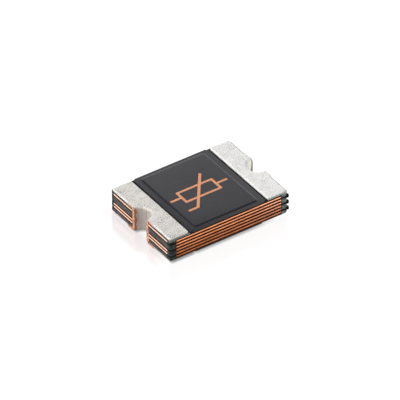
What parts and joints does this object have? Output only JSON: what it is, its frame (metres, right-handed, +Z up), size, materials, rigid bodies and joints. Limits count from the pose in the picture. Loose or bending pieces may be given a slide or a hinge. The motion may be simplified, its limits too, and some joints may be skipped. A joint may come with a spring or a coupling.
{
  "type": "resettable fuse",
  "caption": "Flat surface-mount resettable fuse: a laminated block of polymer, copper foil and glass-epoxy sheets with tinned end terminals and plated half holes.",
  "frame": {"origin": "middle of the solder plane, on the lower faces of the two lower pads", "axes": "+X along the length, from the left terminal to the right one; +Z up through the layers"},
  "size_m": [0.0072, 0.0054, 0.0015],
  "materials": {
    "terminal_copper": "plated copper, bare and sawn at the ends",
    "tin": "matte plated tin with a fine grain",
    "solder_mask": "black, satin",
    "foil_copper": "sawn copper edge",
    "glass_epoxy": "sawn glass-epoxy, grey green",
    "conductive_polymer": "sawn carbon-filled polymer, near black"
  },
  "bodies": {
    "root": {"left_terminal": "terminal_copper", "right_terminal": "terminal_copper", "left_tin_coat": "tin", "right_tin_coat": "tin", "top_solder_mask": "solder_mask", "bottom_solder_mask": "solder_mask", "top_blank_foil": "foil_copper", "top_cover_sheet": "glass_epoxy", "upper_bond_sheet": "glass_epoxy", "lower_bond_sheet": "glass_epoxy", "bottom_cover_sheet": "glass_epoxy", "top_polymer_sheet": "conductive_polymer", "middle_polymer_sheet": "conductive_polymer", "bottom_polymer_sheet": "conductive_polymer", "electrode_foil_1": "foil_copper", "electrode_foil_2": "foil_copper", "electrode_foil_3": "foil_copper", "electrode_foil_4": "foil_copper", "electrode_foil_5": "foil_copper", "electrode_foil_6": "foil_copper"}
  },
  "joints": []
}
